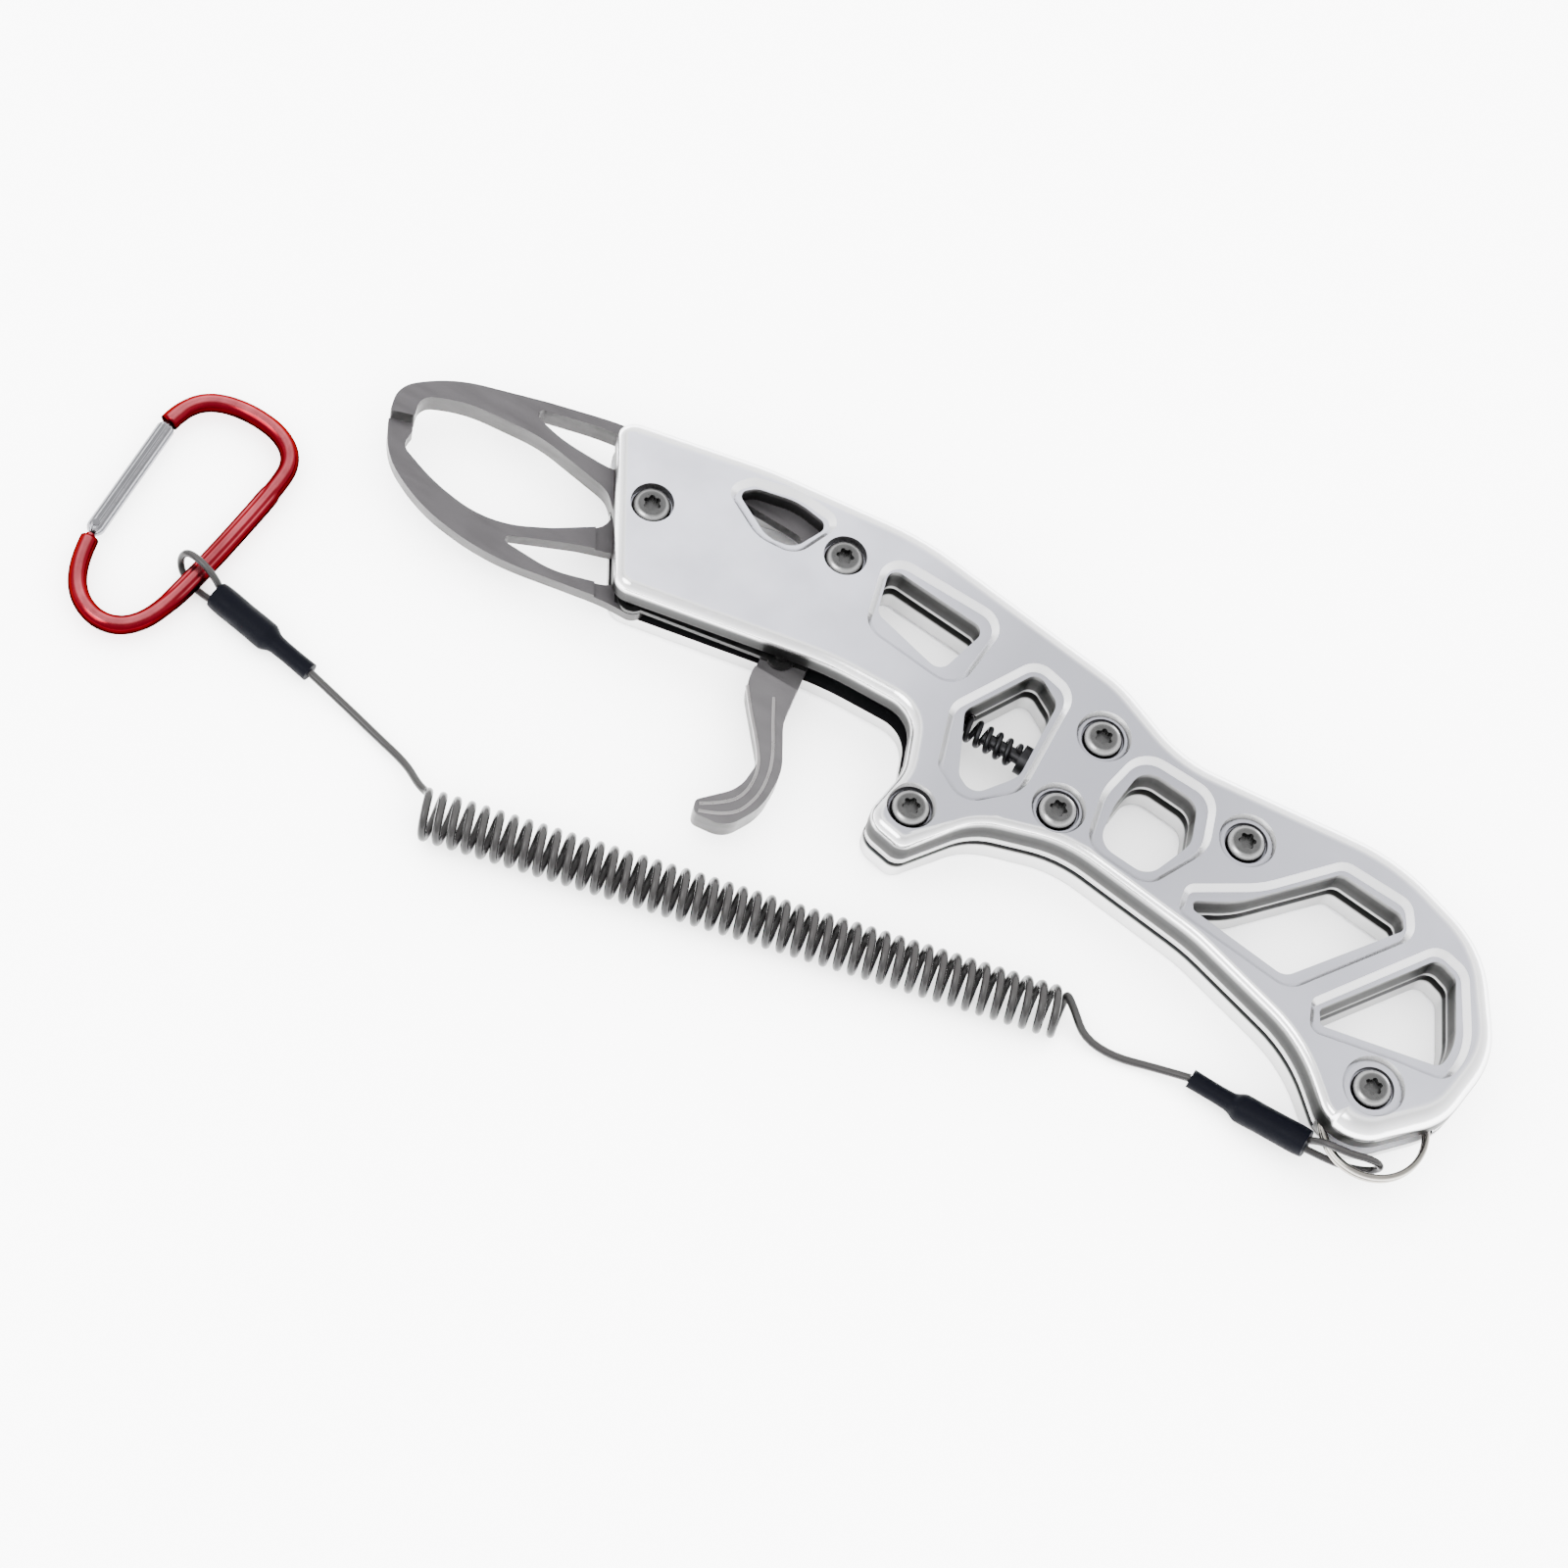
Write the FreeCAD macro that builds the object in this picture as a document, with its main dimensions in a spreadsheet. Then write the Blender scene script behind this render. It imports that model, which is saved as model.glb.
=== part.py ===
import FreeCAD, Part
import math
import os
from FreeCAD import Placement, Rotation, Vector

# Fish lip grip with a coiled lanyard, in millimetres.
# It lies flat on its back shell: +X runs along the push rod to the tail, +Y to the spine, +Z is the depth.
# Two aluminium shells hold two steel jaws; a sprung trigger pulls a link bar that swings the lower jaw open.

doc = FreeCAD.newDocument("lip_grip")
sheet = doc.addObject("Spreadsheet::Sheet", "Sizes")

SIZES = [
    ("frame_x", -0.55), ("frame_y", -0.5),
    ("half_depth", 7.8), ("slot_half", 2.6), ("plate_gap", 0.1), ("plate_skin", 2.5), ("seam_bevel", 0.5),
    ("round_spine", 4.0), ("round_front", 2.3), ("round_grip", 1.5),
    ("dish_depth", 1.2), ("dish_slope", 45.0),
    ("upper_under", 2.2), ("lower_over", 0.5),
    ("post_radius", 3.0), ("post_bore", 2.0), ("post_half", 3.8), ("boss_room", 7.4), ("running_fit", 0.05),
    ("pin_radius", 1.5), ("link_eye", 2.9), ("link_play", 0.3), ("link_strip", 1.0),
    ("head_radius", 3.8), ("head_height", 2.2), ("head_seat", 5.4), ("head_pocket", 4.2),
    ("shank_radius", 1.95), ("shank_length", 4.4), ("shank_hole", 2.15),
    ("rod_radius", 1.5), ("rod_flange", 2.6), ("rod_nose", 1.35), ("channel_radius", 3.0), ("rod_line", 10.0),
    ("spring_wire", 1.1), ("spring_outer", 2.65), ("spring_pitch", 2.15), ("spring_start", -6.4),
    ("spring_end", 17.3),
    ("ring_outer", 10.6), ("ring_wire", 1.7), ("ring_rise", 1.25),
    ("cord_width", 1.6), ("eye_width", 1.4), ("coil_radius", 5.0), ("sleeve_thin", 1.8),
    ("sleeve_thick", 2.9),
    ("clip_wire", 1.8), ("gate_radius", 1.6), ("gate_slot", 1.5), ("tongue", 1.3), ("clip_height", 3.5),
    ("rivet_radius", 0.7),
]


def fill_sheet():
    for row, (alias, value) in enumerate(SIZES, start=1):
        sheet.set(f"A{row}", alias)
        sheet.set(f"B{row}", str(value))
        sheet.setAlias(f"B{row}", alias)
    doc.recompute()


fill_sheet()


def size(alias):
    return float(sheet.get(alias))


SEAM = size("half_depth")


def spot(x, y, z=0.0):
    """A point of the drawing, moved so that the middle of the grip's box is over the origin."""
    return Vector(x + size("frame_x"), y + size("frame_y"), z)


# Screw centres, from the jaw pivot to the tail.
JAW_PIVOT = (-66.7, 13.7)
TRIGGER_PIVOT = (-30.5, 24.7)
HORN_SCREW = (5.3, -14.1)
BACK_SCREW = (29.0, 18.9)
BELLY_SCREW = (28.7, 0.9)
WAIST_SCREW = (61.8, 15.0)
TAIL_SCREW = (103.6, -16.0)
# The screws of the handle sit in round bowls, whose radius goes with each.
FRAME_SCREWS = [
    (HORN_SCREW, 4.7), (BACK_SCREW, 5.3), (BELLY_SCREW, 5.2), (WAIST_SCREW, 5.5), (TAIL_SCREW, 5.9),
]
ALL_SCREWS = [JAW_PIVOT, TRIGGER_PIVOT] + [centre for centre, _ in FRAME_SCREWS]

JAW_PIN = (-60.5, -2.5)
TRIGGER_PIN = (-31.0, 3.0)
RING_CENTRE = (107.8, -19.5)

# Outlines are corners with the radius of the arc that rounds each one.
SHELL = [
    (-82.4, 27.6, 4.0), (-52.0, 34.6, 60.0), (-20.0, 38.4, 60.0), (27.0, 32.2, 25.0), (44.0, 24.9, 25.0),
    (88.0, 29.4, 40.0), (110.0, 21.8, 22.0), (121.0, 3.0, 18.0), (118.5, -13.5, 14.0), (106.0, -27.2, 9.0),
    (98.0, -25.0, 6.0), (88.0, -15.2, 30.0), (62.0, -7.6, 40.0), (33.0, -4.0, 25.0), (17.0, -9.5, 14.0),
    (8.0, -22.5, 3.0), (-1.2, -20.6, 4.0), (0.6, -8.0, 9.0), (-3.6, 3.9, 7.0), (-22.0, 3.3, 60.0),
    (-63.9, -5.3, 4.0),
]
HOLES = [
    [(-54.6, 25.6, 1.5), (-52.0, 28.4, 4.0), (-44.0, 30.4, 12.0), (-36.2, 29.2, 1.8), (-39.6, 21.2, 4.0),
     (-45.0, 20.2, 6.0)],
    [(-22.4, 28.3, 2.0), (-0.4, 26.6, 2.2), (-3.6, 13.8, 2.5), (-19.6, 18.0, 2.5)],
    [(4.2, 9.4, 2.5), (12.2, 24.4, 2.2), (18.4, 20.6, 3.0), (19.4, 3.0, 5.0), (13.6, -5.4, 3.0),
     (9.6, -3.0, 2.5)],
    [(38.4, 18.2, 4.0), (50.4, 17.2, 4.0), (53.2, 9.0, 5.0), (49.2, -1.6, 4.0), (38.2, -0.8, 4.0),
     (37.2, 8.0, 10.0)],
    [(58.6, -1.2, 0.7), (66.0, 3.4, 20.0), (80.2, 19.6, 2.5), (93.4, 18.4, 2.0), (95.2, 15.8, 1.5),
     (80.0, -5.2, 3.0), (59.6, -2.8, 0.7)],
    [(88.4, -7.4, 1.2), (103.2, 14.2, 2.5), (107.6, 12.6, 2.5), (113.6, 0.0, 12.0), (112.6, -5.2, 2.0),
     (90.0, -10.2, 1.2)],
]
DISHES = [
    [(-57.2, 24.6, 3.0), (-53.5, 29.6, 3.0), (-44.0, 32.2, 12.0), (-33.8, 31.0, 3.0), (-38.4, 19.2, 5.0),
     (-46.5, 18.6, 8.0)],
    [(-24.6, 30.6, 4.5), (2.6, 30.2, 5.0), (1.2, 11.2, 5.0), (-20.2, 13.4, 5.0)],
    [(1.4, 8.6, 5.0), (10.8, 26.4, 4.5), (20.6, 24.0, 5.0), (21.6, 0.0, 7.0), (13.0, -8.6, 5.0),
     (5.4, -4.4, 4.0)],
    [(36.2, 21.0, 6.0), (53.0, 20.4, 6.0), (56.6, 9.0, 8.0), (50.2, -4.2, 5.0), (36.2, -3.0, 5.0),
     (33.8, 9.0, 12.0)],
    [(56.0, 0.6, 2.5), (68.0, 8.6, 20.0), (79.4, 21.8, 4.0), (94.0, 21.2, 4.0), (97.6, 15.0, 4.5),
     (81.8, -8.0, 5.0), (57.0, -5.4, 2.5)],
    [(86.2, -7.0, 2.2), (102.0, 16.4, 4.0), (109.0, 14.6, 5.0), (116.6, 0.0, 14.0), (114.8, -8.0, 4.0),
     (104.0, -9.6, 20.0), (88.6, -13.0, 2.6)],
]
# The slot between the shells is open along the front edge and under the trigger, up to the finger notch.
SLOT = [
    (-96.0, -40.0, 0.0), (-0.4, -40.0, 0.0), (-0.4, 1.0, 2.0), (-3.4, 6.2, 3.0),
    (-13.0, 6.2, 2.0), (-20.5, 13.5, 2.0), (-23.2, 20.0, 3.0), (-23.2, 29.0, 2.0), (-26.5, 31.2, 2.0),
    (-36.0, 31.6, 10.0), (-50.0, 31.5, 30.0), (-66.0, 30.7, 30.0), (-84.0, 29.4, 0.0), (-96.0, 34.0, 0.0),
]
UPPER_JAW = [
    (-119.4, 5.5, 0.3), (-121.0, 10.9, 5.5), (-113.8, 18.2, 28.0), (-95.6, 24.2, 80.0), (-82.0, 28.0, 50.0),
    (-66.0, 30.0, 30.0), (-50.0, 30.8, 30.0), (-34.0, 31.0, 3.0), (-24.5, 29.0, 3.0), (-24.5, 20.5, 3.0),
    (-34.0, 18.6, 3.0), (-40.0, 26.4, 4.0), (-60.0, 26.8, 30.0), (-81.0, 26.2, 60.0), (-98.4, 21.4, 1.1),
    (-90.0, 18.6, 30.0), (-78.2, 18.3, 20.0), (-69.5, 20.6, 3.0), (-60.4, 19.0, 3.0), (-60.4, 8.2, 3.0),
    (-69.5, 7.2, 3.0), (-76.0, 14.0, 6.0), (-92.6, 16.9, 30.0), (-108.6, 15.3, 26.0), (-116.4, 11.4, 3.0),
    (-114.9, 7.1, 0.3),
]
LOWER_JAW = [
    (-119.3, 4.9, 0.3), (-115.3, -2.3, 16.0), (-104.5, -8.1, 36.0), (-88.7, -10.1, 50.0), (-64.9, -5.5, 40.0),
    (-57.6, -5.4, 2.8), (-57.6, 0.4, 2.8), (-62.2, 0.4, 1.5), (-67.0, -2.8, 6.0), (-76.5, -5.9, 20.0),
    (-90.0, -5.4, 0.9), (-75.5, 1.6, 30.0), (-68.6, 4.2, 3.0), (-60.4, 7.6, 4.0), (-60.4, 19.8, 4.0),
    (-72.6, 19.8, 4.0), (-73.0, 8.0, 4.0), (-80.9, 2.1, 15.0), (-91.5, -4.1, 22.0), (-105.0, -2.1, 40.0),
    (-113.9, 1.3, 2.5), (-113.9, 5.0, 1.0), (-114.8, 6.4, 0.3),
]
TRIGGER = [
    (-36.6, 30.4, 5.0), (-24.4, 30.4, 5.0), (-25.7, 17.0, 6.0), (-25.7, 4.0, 12.0), (-23.6, -10.0, 12.0),
    (-18.6, -19.0, 12.0), (-18.2, -27.4, 12.0), (-21.8, -34.6, 5.0), (-28.4, -35.4, 1.5),
    (-29.4, -32.9, 1.2), (-23.6, -26.4, 8.0), (-23.4, -19.0, 6.0), (-33.6, -6.4, 8.0), (-34.6, 6.0, 8.0),
    (-36.6, 18.0, 8.0),
]


def rounded(corners):
    """Line and arc geometry of a closed outline whose corners are rounded."""
    count = len(corners)
    points = [spot(x, y) for x, y, _ in corners]
    turns = []
    for i, (_, _, radius) in enumerate(corners):
        here = points[i]
        if radius == 0:
            turns.append((here, None, here))
            continue
        back = (points[i - 1] - here).normalize()
        ahead = (points[(i + 1) % count] - here).normalize()
        half = back.getAngle(ahead) / 2
        reach = radius / math.tan(half)
        middle = (back + ahead).normalize()
        crown = here + middle * (radius / math.sin(half) - radius)
        turns.append((here + back * reach, crown, here + ahead * reach))
    geometry = []
    for i, (start, crown, end) in enumerate(turns):
        if crown is not None:
            geometry.append(Part.Arc(start, crown, end))
        nearest = turns[(i + 1) % count][0]
        if (nearest - end).Length > 1e-6:
            geometry.append(Part.LineSegment(end, nearest))
    return geometry


def origin_plane(body, role):
    return next(feature for feature in body.Origin.OriginFeatures if feature.Role == role)


def add_sketch(body, name, shapes, height):
    """A sketch parallel to the body's XY plane, at a height given as an expression of the sheet."""
    sketch = body.newObject("Sketcher::SketchObject", name)
    sketch.AttachmentSupport = (origin_plane(body, "XY_Plane"), [""])
    sketch.MapMode = "FlatFace"
    sketch.setExpression("AttachmentOffset.Base.z", height)
    for geometry in shapes:
        sketch.addGeometry(geometry, False)
    return sketch


def plate(name, shapes, bottom, thickness):
    """A body padded up from a height; both are expressions of the sheet."""
    body = doc.addObject("PartDesign::Body", name)
    sketch = add_sketch(body, name + "_outline", shapes, bottom)
    pad = body.newObject("PartDesign::Pad", name + "_pad")
    pad.Profile = sketch
    pad.setExpression("Length", thickness)
    doc.recompute()
    return body


def cylinder(name, centre, bottom, radius, length):
    solid = doc.addObject("Part::Cylinder", name)
    solid.Placement = Placement(spot(*centre), Rotation())
    solid.setExpression("Placement.Base.z", bottom)
    solid.setExpression("Radius", radius)
    solid.setExpression("Height", length)
    return solid


def rod_cylinder(name, x_start, x_end, radius):
    """A cylinder on the push rod's line, along X."""
    solid = doc.addObject("Part::Cylinder", name)
    start = spot(x_start, size("rod_line"), SEAM)
    solid.Placement = Placement(start, Rotation(Vector(0, 1, 0), 90))
    solid.setExpression("Radius", radius)
    solid.Height = x_end - x_start
    return solid


def fuse(name, members):
    joined = doc.addObject("Part::MultiFuse", name)
    joined.Shapes = members
    joined.Refine = True
    doc.recompute()
    return joined


def cut(name, base, tools):
    """Cuts tools that don't touch each other out of a base, and checks that material went."""
    result = doc.addObject("Part::Cut", name)
    result.Base = base
    result.Tool = tools[0] if len(tools) == 1 else group(name + "_tools", tools)
    doc.recompute()
    removed = base.Shape.Volume - result.Shape.Volume
    overlap = sum(base.Shape.common(tool.Shape).Volume for tool in tools)
    assert abs(removed - overlap) < 0.01 * overlap + 0.01, f"{name}: removed {removed}, expected {overlap}"
    return result


def group(name, members):
    together = doc.addObject("Part::Compound", name)
    together.Links = members
    doc.recompute()
    return together


finished = []


def finish(thing, label):
    thing.Label = label
    finished.append(thing)
    return thing


# ---------------------------------------------------------------- shells


def edge_radius(point):
    """The shell's edge is broad along the spine and tail, tighter at the front and along the finger side."""
    x = point.x - size("frame_x")
    y = point.y - size("frame_y")
    if x > 100 or (y > 23 and x > -79):
        return size("round_spine")
    if y < 2 and x > 12:
        return size("round_grip")
    return size("round_front")


def rounded_rim(name, base, height):
    rim = doc.addObject("Part::Fillet", name)
    rim.Base = base
    edges = []
    for number, edge in enumerate(base.Shape.Edges, start=1):
        if all(abs(vertex.Z - height) < 1e-6 for vertex in edge.Vertexes):
            first = edge_radius(edge.valueAt(edge.FirstParameter))
            last = edge_radius(edge.valueAt(edge.LastParameter))
            edges.append((number, first, last))
    rim.Edges = edges
    doc.recompute()
    return rim


def bevelled_seam(name, base, height):
    bevel = doc.addObject("Part::Chamfer", name)
    bevel.Base = base
    width = size("seam_bevel")
    bevel.Edges = [
        (number, width, width)
        for number, edge in enumerate(base.Shape.Edges, start=1)
        if all(abs(vertex.Z - height) < 1e-6 for vertex in edge.Vertexes)
    ]
    doc.recompute()
    return bevel


def dish(name, corners):
    """A sloping recess round a hole, cut down from the outer face."""
    outline = doc.addObject("Part::Feature", name)
    face = Part.Face(Part.Wire([piece.toShape() for piece in rounded(corners)]))
    depth = size("dish_depth")
    inset = depth * math.tan(math.radians(size("dish_slope")))
    floor = face.Wires[0].makeOffset2D(-inset)
    floor.translate(Vector(0, 0, -depth))
    solid = Part.makeLoft([floor, face.Wires[0]], True, True)
    solid.translate(Vector(0, 0, 2 * SEAM))
    outline.Shape = solid
    return outline


def front_shell():
    top = 2 * SEAM
    blank = plate("shell_blank", [rounded(SHELL)], "Sizes.half_depth", "Sizes.half_depth")
    shell = bevelled_seam("shell_bevel", rounded_rim("shell_rim", blank, top), SEAM)
    shell = cut("shell_with_dishes", shell, [
        dish(f"dish_cutter_{i}", corners) for i, corners in enumerate(DISHES)])
    shell = cut("shell_with_holes", shell, [
        plate(f"hole_cutter_{i}", [rounded(hole)], "Sizes.half_depth - 1", "Sizes.half_depth + 2")
        for i, hole in enumerate(HOLES)])
    bowls = []
    for i, (centre, radius) in enumerate(FRAME_SCREWS):
        bowl = doc.addObject("Part::Cone", f"bowl_cutter_{i}")
        bowl.Placement = Placement(spot(*centre, top - size("dish_depth")), Rotation())
        bowl.Radius1 = radius - 0.7
        bowl.Radius2 = radius
        bowl.setExpression("Height", "Sizes.dish_depth")
        bowls.append(bowl)
    shell = cut("shell_with_bowls", shell, bowls)
    for name, bottom, radius, length in (
            ("head", "Sizes.half_depth + Sizes.head_seat", "Sizes.head_pocket", "Sizes.half_depth"),
            ("shank", "Sizes.half_depth - 1", "Sizes.shank_hole", "Sizes.half_depth + 2")):
        shell = cut(f"shell_with_{name}s", shell, [
            cylinder(f"{name}_cutter_{i}", centre, bottom, radius, length)
            for i, centre in enumerate(ALL_SCREWS)])
    slot = plate("slot_cutter", [rounded(SLOT)], "Sizes.half_depth - 1", "Sizes.slot_half + 1")
    shell = cut("shell_with_slot", shell, [slot])
    shell = cut("shell_with_posts", shell, [
        cylinder(f"post_cutter_{i}", centre, "Sizes.half_depth - 1", "Sizes.post_radius + Sizes.running_fit",
                 "Sizes.post_half + 1") for i, centre in enumerate(ALL_SCREWS)])
    ring = cylinder("ring_cutter", RING_CENTRE, "Sizes.half_depth - 1", "Sizes.ring_outer + 0.6",
                    "Sizes.ring_rise + 0.35 + 1")
    shell = cut("shell_with_ring_room", shell, [ring])
    shell = cut("shell_with_guide", shell, [
        rod_cylinder("rod_guide_cutter", -22.0, -9.4, "Sizes.rod_radius + Sizes.running_fit")])
    return cut("front_shell_solid", shell, [
        rod_cylinder("spring_cutter", -9.4, 9.0, "Sizes.channel_radius"),
        rod_cylinder("seat_cutter", 16.0, 20.2, "Sizes.channel_radius")])


def back_shell(front):
    mirrored = doc.addObject("Part::Mirroring", "back_shell_solid")
    mirrored.Source = front
    mirrored.Normal = Vector(0, 0, 1)
    mirrored.Base = Vector(0, 0, SEAM)
    doc.recompute()
    return mirrored


# ---------------------------------------------------------------- jaws and trigger


def inner_side(name, offset, bottom, thickness):
    """A block over everything behind a line parallel to the shell's front edge."""
    top_point = (-82.4 + offset, 27.6)
    low_point = (-63.9 + offset, -5.3)
    run = ((low_point[0] - top_point[0]) / (low_point[1] - top_point[1]))
    high = (top_point[0] + run * 12, 39.6, 0.0)
    low = (low_point[0] - run * 20, -25.3, 0.0)
    return plate(name, [rounded([low, high, (10.0, 39.6, 0.0), (10.0, -25.3, 0.0)])], bottom, thickness)


def upper_jaw():
    blank = plate("upper_jaw_blank", [rounded(UPPER_JAW)], "Sizes.half_depth - Sizes.upper_under",
                  "Sizes.upper_under + Sizes.plate_skin")
    step = inner_side("upper_jaw_step", 0.9, "Sizes.half_depth - 4", "4 + Sizes.plate_gap")
    recess = cylinder("upper_jaw_recess", JAW_PIVOT, "Sizes.half_depth - 4", "Sizes.boss_room",
                      "4 + Sizes.plate_gap")
    stepped = cut("upper_jaw_stepped", blank, [step])
    tools = [
        cylinder("upper_jaw_bore", JAW_PIVOT, "Sizes.half_depth - 4",
                 "Sizes.post_radius + Sizes.running_fit", "8"),
        cylinder("upper_jaw_anchor", TRIGGER_PIVOT, "Sizes.half_depth - 4",
                 "Sizes.post_radius + Sizes.running_fit", "8"),
    ]
    return cut("upper_jaw_solid", cut("upper_jaw_recessed", stepped, [recess]), tools)


def lower_jaw():
    blank = plate("lower_jaw_blank", [rounded(LOWER_JAW)], "Sizes.half_depth - Sizes.plate_skin",
                  "Sizes.plate_skin + Sizes.lower_over")
    step = inner_side("lower_jaw_step", -3.4, "Sizes.half_depth - Sizes.plate_gap", "4")
    tools = [
        cylinder("lower_jaw_bore", JAW_PIVOT, "Sizes.half_depth - 4",
                 "Sizes.post_radius + Sizes.running_fit", "8"),
        cylinder("lower_jaw_pin_hole", JAW_PIN, "Sizes.half_depth - 4", "Sizes.pin_radius", "8"),
    ]
    return cut("lower_jaw_solid", cut("lower_jaw_stepped", blank, [step]), tools)


def trigger():
    blank = plate("trigger_blank", [rounded(TRIGGER)], "Sizes.half_depth - Sizes.plate_skin",
                  "2 * Sizes.plate_skin")
    relief = plate("trigger_relief", [rounded([(-50.0, -2.6, 0.0), (-10.0, -2.6, 0.0), (-10.0, 40.0, 0.0),
                                               (-50.0, 40.0, 0.0)])],
                   "Sizes.half_depth - Sizes.plate_gap", "4")
    tools = [
        cylinder("trigger_bore", TRIGGER_PIVOT, "Sizes.half_depth - 4",
                 "Sizes.post_radius + Sizes.running_fit", "8"),
        cylinder("trigger_pin_hole", TRIGGER_PIN, "Sizes.half_depth - 4", "Sizes.pin_radius", "8"),
    ]
    return cut("trigger_solid", cut("trigger_relieved", blank, [relief]), tools)


def link_bar():
    """A strip with two eyes; the one on the jaw pin has play, because that is the linkage's open pivot."""
    jaw_end = Vector(*JAW_PIN, 0)
    trigger_end = Vector(*TRIGGER_PIN, 0)
    across = trigger_end - jaw_end
    side = Vector(-across.y, across.x, 0).normalize() * 1.9
    waist = [jaw_end + side, trigger_end + side, trigger_end - side, jaw_end - side]
    bottom = "Sizes.half_depth + Sizes.plate_gap"
    thickness = "Sizes.link_strip"
    bar = plate("link_waist", [rounded([(p.x, p.y, 0.0) for p in waist])], bottom, thickness)
    eyes = [cylinder("link_eye_jaw", JAW_PIN, bottom, "Sizes.link_eye", thickness),
            cylinder("link_eye_trigger", TRIGGER_PIN, bottom, "Sizes.link_eye", thickness)]
    holes = [cylinder("link_hole_jaw", JAW_PIN, "Sizes.half_depth - 4",
                      "Sizes.pin_radius + Sizes.link_play", "8"),
             cylinder("link_hole_trigger", TRIGGER_PIN, "Sizes.half_depth - 4",
                      "Sizes.pin_radius + Sizes.running_fit", "8")]
    return cut("link_bar_solid", fuse("link_bar_blank", [bar] + eyes), holes)


# ---------------------------------------------------------------- posts, pins and screws


def post(name, centre):
    outer = cylinder(name + "_outer", centre, "Sizes.half_depth - Sizes.post_half", "Sizes.post_radius",
                     "2 * Sizes.post_half")
    bore = cylinder(name + "_bore", centre, "0", "Sizes.post_bore", "2 * Sizes.half_depth")
    return cut(name, outer, [bore])


def link_pin(name, centre):
    return cylinder(name, centre, "Sizes.half_depth - Sizes.plate_skin", "Sizes.pin_radius",
                    "2 * Sizes.plate_skin")


def screw_body():
    """A button-head screw with a six-lobe socket, head up, with its seat at the height zero."""
    body = doc.addObject("PartDesign::Body", "screw_master")
    sketch = body.newObject("Sketcher::SketchObject", "screw_profile")
    sketch.AttachmentSupport = (origin_plane(body, "XZ_Plane"), [""])
    sketch.MapMode = "FlatFace"
    head = size("head_radius")
    rise = size("head_height")
    shank = size("shank_radius")
    length = size("shank_length")
    rim = 0.55
    flat = head * 0.5
    profile = [(0, rise), (flat, rise), (head, rim), (head, 0), (shank, 0), (shank, -length + 0.4),
               (shank - 0.4, -length), (0, -length)]
    points = [Vector(x, y, 0) for x, y in profile]
    crown = Vector(head * 0.86, rise * 0.80, 0)
    for i, start in enumerate(points):
        end = points[(i + 1) % len(points)]
        sketch.addGeometry(Part.Arc(start, crown, end) if i == 1 else Part.LineSegment(start, end), False)
    turned = body.newObject("PartDesign::Revolution", "screw_turned")
    turned.Profile = sketch
    turned.ReferenceAxis = (sketch, ["V_Axis"])
    turned.Angle = 360
    doc.recompute()
    return body


def six_lobe(radius, depth, height):
    """The socket of a six-lobe drive: a disc with six round lobes."""
    cutter = Part.makeCylinder(radius * 0.78, depth, Vector(0, 0, height - depth))
    for lobe in range(6):
        angle = math.radians(60 * lobe)
        centre = Vector(math.cos(angle), math.sin(angle), 0) * radius * 0.72
        centre.z = height - depth
        cutter = cutter.fuse(Part.makeCylinder(radius * 0.28, depth, centre))
    return cutter.removeSplitter()


def screws(name, side):
    """One solid at each screw place, all facing out of one shell."""
    master = screw_master.Shape.cut(six_lobe(1.75, 1.35, size("head_height")))
    seat = SEAM + side * size("head_seat")
    flip = Rotation() if side > 0 else Rotation(Vector(1, 0, 0), 180)
    members = []
    for i, centre in enumerate(ALL_SCREWS):
        turn = Rotation(Vector(0, 0, 1), 17.0 * i)
        screw = doc.addObject("Part::Feature", f"{name}_{i}")
        screw.Shape = master
        screw.Placement = Placement(spot(*centre, seat), turn.multiply(flip))
        members.append(screw)
    return group(name + "_set", members)


# ---------------------------------------------------------------- push rod, spring and ring


def push_rod():
    start = size("spring_start")
    stem = rod_cylinder("rod_stem", -24.1, start - 1.4, "Sizes.rod_radius")
    tip = doc.addObject("Part::Sphere", "rod_tip")
    tip.Placement = Placement(spot(-24.1, size("rod_line"), SEAM), Rotation())
    tip.setExpression("Radius", "Sizes.rod_radius")
    flange = rod_cylinder("rod_flange", start - 1.4, start, "Sizes.rod_flange")
    nose = rod_cylinder("rod_nose", start, 3.2, "Sizes.rod_nose")
    return fuse("push_rod_solid", [tip, stem, flange, nose])


def spring_seat():
    end = size("spring_end")
    disc = rod_cylinder("seat_disc", end, 20.1, "Sizes.channel_radius - 0.05")
    nose = rod_cylinder("seat_nose", 9.4, end, "Sizes.rod_nose")
    return fuse("spring_seat_solid", [disc, nose])


def return_spring():
    """A coil of round wire with closed ends, about the push rod's line."""
    wire = size("spring_wire")
    radius = size("spring_outer") - wire / 2
    start = size("spring_start") + wire / 2 + 0.02
    end = size("spring_end") - wire / 2 - 0.02
    helix = Part.makeHelix(size("spring_pitch"), end - start, radius)
    section = Part.Wire([Part.Circle(Vector(radius, 0, 0), Vector(0, 1, 0), wire / 2).toShape()])
    coil = Part.Wire(helix.Edges).makePipeShell([section], True, True)
    spring = doc.addObject("Part::Feature", "return_spring_solid")
    spring.Shape = coil
    spring.Placement = Placement(spot(start, size("rod_line"), SEAM), Rotation(Vector(0, 1, 0), 90))
    doc.recompute()
    return spring


def split_ring():
    """Two flat turns of wire, one on the other, wound as one ring."""
    outer = cylinder("ring_outer_disc", RING_CENTRE, "Sizes.half_depth - Sizes.ring_rise", "Sizes.ring_outer",
                     "2 * Sizes.ring_rise")
    inner = cylinder("ring_inner_disc", RING_CENTRE, "0", "Sizes.ring_outer - Sizes.ring_wire",
                     "2 * Sizes.half_depth")
    return cut("split_ring_solid", outer, [inner])


# ---------------------------------------------------------------- lanyard

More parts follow.
